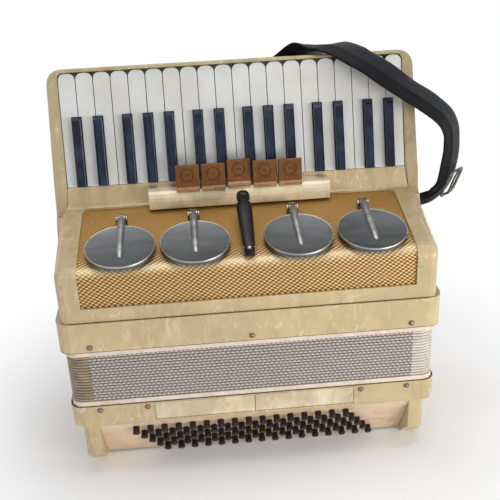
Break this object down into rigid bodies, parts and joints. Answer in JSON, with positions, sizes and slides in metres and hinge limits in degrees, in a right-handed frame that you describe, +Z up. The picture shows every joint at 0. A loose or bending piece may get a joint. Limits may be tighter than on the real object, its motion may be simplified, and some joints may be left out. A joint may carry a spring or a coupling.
{
  "type": "piano accordion",
  "caption": "Piano accordion in cream pearl celluloid with a gold grille, mute discs, register switches, closed bellows, bass buttons and a shoulder strap, standing on its bass side.",
  "frame": {"origin": "centre of the whole object's bounding box in plan, at floor level", "axes": "+X along the keyboard to the low notes, -Y the grille and bass register front that faces the viewer, +Z up from the bass side to the keyboard, along the bellows travel"},
  "size_m": [0.5012, 0.214, 0.458],
  "materials": {
    "bellows_cloth": "folded card covered in grey-beige patterned cloth",
    "bellows_frame_wood": "lacquered pale wood",
    "button_board": "peach-coloured panel with dark brown buttons",
    "chrome_steel": "bright plated steel, lightly worn",
    "gold_grille": "gold woven grille cloth over a stiff sheet",
    "key_black": "glossy black, slightly blue",
    "key_white": "glossy off-white key covering",
    "lever_black": "polished black moulding",
    "pearl_celluloid": "polished cream and ivory pearl celluloid",
    "strap_leather": "black padded leather",
    "switch_brown": "satin reddish brown moulding"
  },
  "bodies": {
    "bass": {"bass_case": "pearl_celluloid", "bass_button_board": "button_board", "bass_hand_strap": "strap_leather", "bellows_frame_bass": "bellows_frame_wood", "bellows": "bellows_cloth"},
    "treble": {"treble_case": "pearl_celluloid", "treble_cover": "pearl_celluloid", "grille_sheet": "gold_grille", "keyboard_frame": "pearl_celluloid", "key_axle": "chrome_steel", "switch_block": "pearl_celluloid", "bellows_frame_treble": "bellows_frame_wood", "shoulder_strap": "strap_leather", "strap_buckle": "chrome_steel"},
    "mute_disc_1": {"mute_disc_1": "chrome_steel"},
    "mute_disc_2": {"mute_disc_2": "chrome_steel"},
    "mute_disc_3": {"mute_disc_3": "chrome_steel"},
    "mute_disc_4": {"mute_disc_4": "chrome_steel"},
    "mute_lever": {"mute_lever": "lever_black"},
    "register_switch_1": {"register_switch_1": "switch_brown"},
    "register_switch_2": {"register_switch_2": "switch_brown"},
    "register_switch_3": {"register_switch_3": "switch_brown"},
    "register_switch_4": {"register_switch_4": "switch_brown"},
    "register_switch_5": {"register_switch_5": "switch_brown"},
    "bass_register_bar_left": {"bass_register_bar_left": "pearl_celluloid"},
    "bass_register_bar_right": {"bass_register_bar_right": "pearl_celluloid"},
    "key_white_01": {"key_white_01": "key_white"},
    "key_black_01": {"key_black_01": "key_black"},
    "key_white_02": {"key_white_02": "key_white"},
    "key_black_02": {"key_black_02": "key_black"},
    "key_white_03": {"key_white_03": "key_white"},
    "key_white_04": {"key_white_04": "key_white"},
    "key_black_03": {"key_black_03": "key_black"},
    "key_white_05": {"key_white_05": "key_white"},
    "key_black_04": {"key_black_04": "key_black"},
    "key_white_06": {"key_white_06": "key_white"},
    "key_black_05": {"key_black_05": "key_black"},
    "key_white_07": {"key_white_07": "key_white"},
    "key_white_08": {"key_white_08": "key_white"},
    "key_black_06": {"key_black_06": "key_black"},
    "key_white_09": {"key_white_09": "key_white"},
    "key_black_07": {"key_black_07": "key_black"},
    "key_white_10": {"key_white_10": "key_white"},
    "key_white_11": {"key_white_11": "key_white"},
    "key_black_08": {"key_black_08": "key_black"},
    "key_white_12": {"key_white_12": "key_white"},
    "key_black_09": {"key_black_09": "key_black"},
    "key_white_13": {"key_white_13": "key_white"},
    "key_black_10": {"key_black_10": "key_black"},
    "key_white_14": {"key_white_14": "key_white"},
    "key_white_15": {"key_white_15": "key_white"},
    "key_black_11": {"key_black_11": "key_black"},
    "key_white_16": {"key_white_16": "key_white"},
    "key_black_12": {"key_black_12": "key_black"},
    "key_white_17": {"key_white_17": "key_white"},
    "key_white_18": {"key_white_18": "key_white"},
    "key_black_13": {"key_black_13": "key_black"},
    "key_white_19": {"key_white_19": "key_white"},
    "key_black_14": {"key_black_14": "key_black"},
    "key_white_20": {"key_white_20": "key_white"}
  },
  "joints": [
    {"name": "bellows_slide", "type": "slide", "parent": "bass", "child": "treble", "axis": [0, 0, 1], "range_m": [0, 0.35], "deforming": ["bellows"]},
    {"name": "mute_disc_1_hinge", "type": "hinge", "parent": "treble", "child": "mute_disc_1", "pos_m": [-0.16393, -0.0125, 0.28992], "axis": [-1, 0, 0], "range_deg": [0, 22], "stiffness_Nm_per_rad": 0.25, "springref_deg": -20.05},
    {"name": "mute_disc_2_hinge", "type": "hinge", "parent": "treble", "child": "mute_disc_2", "pos_m": [-0.08182, -0.0125, 0.28992], "axis": [-1, 0, 0], "range_deg": [0, 22], "stiffness_Nm_per_rad": 0.25, "springref_deg": -20.05},
    {"name": "mute_disc_3_hinge", "type": "hinge", "parent": "treble", "child": "mute_disc_3", "pos_m": [0.03238, -0.0125, 0.28992], "axis": [-1, 0, 0], "range_deg": [0, 22], "stiffness_Nm_per_rad": 0.25, "springref_deg": -20.05},
    {"name": "mute_disc_4_hinge", "type": "hinge", "parent": "treble", "child": "mute_disc_4", "pos_m": [0.11485, -0.0125, 0.28992], "axis": [-1, 0, 0], "range_deg": [0, 22], "stiffness_Nm_per_rad": 0.25, "springref_deg": -20.05},
    {"name": "mute_lever_hinge", "type": "hinge", "parent": "treble", "child": "mute_lever", "pos_m": [-0.02411, -0.08573, 0.27622], "axis": [-1, 0, 0], "range_deg": [0, 10]},
    {"name": "register_switch_1_hinge", "type": "hinge", "parent": "treble", "child": "register_switch_1", "pos_m": [-0.08571, 0.0157, 0.3042], "axis": [-1, 0, 0], "range_deg": [0, 14]},
    {"name": "register_switch_2_hinge", "type": "hinge", "parent": "treble", "child": "register_switch_2", "pos_m": [-0.05591, 0.0157, 0.3042], "axis": [-1, 0, 0], "range_deg": [0, 14]},
    {"name": "register_switch_3_hinge", "type": "hinge", "parent": "treble", "child": "register_switch_3", "pos_m": [-0.0261, 0.0157, 0.3042], "axis": [-1, 0, 0], "range_deg": [-14, 0]},
    {"name": "register_switch_4_hinge", "type": "hinge", "parent": "treble", "child": "register_switch_4", "pos_m": [0.00369, 0.0157, 0.3042], "axis": [-1, 0, 0], "range_deg": [0, 14]},
    {"name": "register_switch_5_hinge", "type": "hinge", "parent": "treble", "child": "register_switch_5", "pos_m": [0.03349, 0.0157, 0.3042], "axis": [-1, 0, 0], "range_deg": [0, 14]},
    {"name": "bass_register_bar_left_slide", "type": "slide", "parent": "bass", "child": "bass_register_bar_left", "axis": [0, 1, 0], "range_m": [0, 0.003], "stiffness_N_per_m": 300, "springref_m": -0.003},
    {"name": "bass_register_bar_right_slide", "type": "slide", "parent": "bass", "child": "bass_register_bar_right", "axis": [0, 1, 0], "range_m": [0, 0.003], "stiffness_N_per_m": 300, "springref_m": -0.003},
    {"name": "key_white_01_hinge", "type": "hinge", "parent": "treble", "child": "key_white_01", "pos_m": [-0.22013, 0.025, 0.27971], "axis": [-1, 0, 0], "range_deg": [0, 1.7], "stiffness_Nm_per_rad": 2, "springref_deg": -3.44},
    {"name": "key_black_01_hinge", "type": "hinge", "parent": "treble", "child": "key_black_01", "pos_m": [-0.2085, 0.025, 0.27971], "axis": [-1, 0, 0], "range_deg": [0, 1.7], "stiffness_Nm_per_rad": 2, "springref_deg": -3.44},
    {"name": "key_white_02_hinge", "type": "hinge", "parent": "treble", "child": "key_white_02", "pos_m": [-0.19611, 0.025, 0.27971], "axis": [-1, 0, 0], "range_deg": [0, 1.7], "stiffness_Nm_per_rad": 2, "springref_deg": -3.44},
    {"name": "key_black_02_hinge", "type": "hinge", "parent": "treble", "child": "key_black_02", "pos_m": [-0.18371, 0.025, 0.27971], "axis": [-1, 0, 0], "range_deg": [0, 1.7], "stiffness_Nm_per_rad": 2, "springref_deg": -3.44},
    {"name": "key_white_03_hinge", "type": "hinge", "parent": "treble", "child": "key_white_03", "pos_m": [-0.17208, 0.025, 0.27971], "axis": [-1, 0, 0], "range_deg": [0, 1.7], "stiffness_Nm_per_rad": 2, "springref_deg": -3.44},
    {"name": "key_white_04_hinge", "type": "hinge", "parent": "treble", "child": "key_white_04", "pos_m": [-0.16103, 0.025, 0.27971], "axis": [-1, 0, 0], "range_deg": [0, 1.7], "stiffness_Nm_per_rad": 2, "springref_deg": -3.44},
    {"name": "key_black_03_hinge", "type": "hinge", "parent": "treble", "child": "key_black_03", "pos_m": [-0.1503, 0.025, 0.27971], "axis": [-1, 0, 0], "range_deg": [0, 1.7], "stiffness_Nm_per_rad": 2, "springref_deg": -3.44},
    {"name": "key_white_05_hinge", "type": "hinge", "parent": "treble", "child": "key_white_05", "pos_m": [-0.1382, 0.025, 0.27971], "axis": [-1, 0, 0], "range_deg": [0, 1.7], "stiffness_Nm_per_rad": 2, "springref_deg": -3.44},
    {"name": "key_black_04_hinge", "type": "hinge", "parent": "treble", "child": "key_black_04", "pos_m": [-0.1261, 0.025, 0.27971], "axis": [-1, 0, 0], "range_deg": [0, 1.7], "stiffness_Nm_per_rad": 2, "springref_deg": -3.44},
    {"name": "key_white_06_hinge", "type": "hinge", "parent": "treble", "child": "key_white_06", "pos_m": [-0.114, 0.025, 0.27971], "axis": [-1, 0, 0], "range_deg": [0, 1.7], "stiffness_Nm_per_rad": 2, "springref_deg": -3.44},
    {"name": "key_black_05_hinge", "type": "hinge", "parent": "treble", "child": "key_black_05", "pos_m": [-0.1019, 0.025, 0.27971], "axis": [-1, 0, 0], "range_deg": [0, 1.7], "stiffness_Nm_per_rad": 2, "springref_deg": -3.44},
    {"name": "key_white_07_hinge", "type": "hinge", "parent": "treble", "child": "key_white_07", "pos_m": [-0.09118, 0.025, 0.27971], "axis": [-1, 0, 0], "range_deg": [0, 1.7], "stiffness_Nm_per_rad": 2, "springref_deg": -3.44},
    {"name": "key_white_08_hinge", "type": "hinge", "parent": "treble", "child": "key_white_08", "pos_m": [-0.08013, 0.025, 0.27971], "axis": [-1, 0, 0], "range_deg": [0, 1.7], "stiffness_Nm_per_rad": 2, "springref_deg": -3.44},
    {"name": "key_black_06_hinge", "type": "hinge", "parent": "treble", "child": "key_black_06", "pos_m": [-0.0685, 0.025, 0.27971], "axis": [-1, 0, 0], "range_deg": [0, 1.7], "stiffness_Nm_per_rad": 2, "springref_deg": -3.44},
    {"name": "key_white_09_hinge", "type": "hinge", "parent": "treble", "child": "key_white_09", "pos_m": [-0.05611, 0.025, 0.27971], "axis": [-1, 0, 0], "range_deg": [0, 1.7], "stiffness_Nm_per_rad": 2, "springref_deg": -3.44},
    {"name": "key_black_07_hinge", "type": "hinge", "parent": "treble", "child": "key_black_07", "pos_m": [-0.04371, 0.025, 0.27971], "axis": [-1, 0, 0], "range_deg": [0, 1.7], "stiffness_Nm_per_rad": 2, "springref_deg": -3.44},
    {"name": "key_white_10_hinge", "type": "hinge", "parent": "treble", "child": "key_white_10", "pos_m": [-0.03208, 0.025, 0.27971], "axis": [-1, 0, 0], "range_deg": [0, 1.7], "stiffness_Nm_per_rad": 2, "springref_deg": -3.44},
    {"name": "key_white_11_hinge", "type": "hinge", "parent": "treble", "child": "key_white_11", "pos_m": [-0.02103, 0.025, 0.27971], "axis": [-1, 0, 0], "range_deg": [0, 1.7], "stiffness_Nm_per_rad": 2, "springref_deg": -3.44},
    {"name": "key_black_08_hinge", "type": "hinge", "parent": "treble", "child": "key_black_08", "pos_m": [-0.0103, 0.025, 0.27971], "axis": [-1, 0, 0], "range_deg": [0, 1.7], "stiffness_Nm_per_rad": 2, "springref_deg": -3.44},
    {"name": "key_white_12_hinge", "type": "hinge", "parent": "treble", "child": "key_white_12", "pos_m": [0.00179, 0.025, 0.27971], "axis": [-1, 0, 0], "range_deg": [0, 1.7], "stiffness_Nm_per_rad": 2, "springref_deg": -3.44},
    {"name": "key_black_09_hinge", "type": "hinge", "parent": "treble", "child": "key_black_09", "pos_m": [0.01389, 0.025, 0.27971], "axis": [-1, 0, 0], "range_deg": [0, 1.7], "stiffness_Nm_per_rad": 2, "springref_deg": -3.44},
    {"name": "key_white_13_hinge", "type": "hinge", "parent": "treble", "child": "key_white_13", "pos_m": [0.026, 0.025, 0.27971], "axis": [-1, 0, 0], "range_deg": [0, 1.7], "stiffness_Nm_per_rad": 2, "springref_deg": -3.44},
    {"name": "key_black_10_hinge", "type": "hinge", "parent": "treble", "child": "key_black_10", "pos_m": [0.03809, 0.025, 0.27971], "axis": [-1, 0, 0], "range_deg": [0, 1.7], "stiffness_Nm_per_rad": 2, "springref_deg": -3.44},
    {"name": "key_white_14_hinge", "type": "hinge", "parent": "treble", "child": "key_white_14", "pos_m": [0.04882, 0.025, 0.27971], "axis": [-1, 0, 0], "range_deg": [0, 1.7], "stiffness_Nm_per_rad": 2, "springref_deg": -3.44},
    {"name": "key_white_15_hinge", "type": "hinge", "parent": "treble", "child": "key_white_15", "pos_m": [0.05987, 0.025, 0.27971], "axis": [-1, 0, 0], "range_deg": [0, 1.7], "stiffness_Nm_per_rad": 2, "springref_deg": -3.44},
    {"name": "key_black_11_hinge", "type": "hinge", "parent": "treble", "child": "key_black_11", "pos_m": [0.0715, 0.025, 0.27971], "axis": [-1, 0, 0], "range_deg": [0, 1.7], "stiffness_Nm_per_rad": 2, "springref_deg": -3.44},
    {"name": "key_white_16_hinge", "type": "hinge", "parent": "treble", "child": "key_white_16", "pos_m": [0.08389, 0.025, 0.27971], "axis": [-1, 0, 0], "range_deg": [0, 1.7], "stiffness_Nm_per_rad": 2, "springref_deg": -3.44},
    {"name": "key_black_12_hinge", "type": "hinge", "parent": "treble", "child": "key_black_12", "pos_m": [0.0963, 0.025, 0.27971], "axis": [-1, 0, 0], "range_deg": [0, 1.7], "stiffness_Nm_per_rad": 2, "springref_deg": -3.44},
    {"name": "key_white_17_hinge", "type": "hinge", "parent": "treble", "child": "key_white_17", "pos_m": [0.10792, 0.025, 0.27971], "axis": [-1, 0, 0], "range_deg": [0, 1.7], "stiffness_Nm_per_rad": 2, "springref_deg": -3.44},
    {"name": "key_white_18_hinge", "type": "hinge", "parent": "treble", "child": "key_white_18", "pos_m": [0.11987, 0.025, 0.27971], "axis": [-1, 0, 0], "range_deg": [0, 1.7], "stiffness_Nm_per_rad": 2, "springref_deg": -3.44},
    {"name": "key_black_13_hinge", "type": "hinge", "parent": "treble", "child": "key_black_13", "pos_m": [0.1315, 0.025, 0.27971], "axis": [-1, 0, 0], "range_deg": [0, 1.7], "stiffness_Nm_per_rad": 2, "springref_deg": -3.44},
    {"name": "key_white_19_hinge", "type": "hinge", "parent": "treble", "child": "key_white_19", "pos_m": [0.14389, 0.025, 0.27971], "axis": [-1, 0, 0], "range_deg": [0, 1.7], "stiffness_Nm_per_rad": 2, "springref_deg": -3.44},
    {"name": "key_black_14_hinge", "type": "hinge", "parent": "treble", "child": "key_black_14", "pos_m": [0.15629, 0.025, 0.27971], "axis": [-1, 0, 0], "range_deg": [0, 1.7], "stiffness_Nm_per_rad": 2, "springref_deg": -3.44},
    {"name": "key_white_20_hinge", "type": "hinge", "parent": "treble", "child": "key_white_20", "pos_m": [0.16792, 0.025, 0.27971], "axis": [-1, 0, 0], "range_deg": [0, 1.7], "stiffness_Nm_per_rad": 2, "springref_deg": -3.44}
  ],
  "couplings": [
    {"joint": "mute_disc_2_hinge", "follows": "mute_disc_1_hinge", "ratio": 1},
    {"joint": "mute_disc_3_hinge", "follows": "mute_disc_1_hinge", "ratio": 1},
    {"joint": "mute_disc_4_hinge", "follows": "mute_disc_1_hinge", "ratio": 1},
    {"joint": "mute_lever_hinge", "follows": "mute_disc_1_hinge", "ratio": 0.4545}
  ]
}
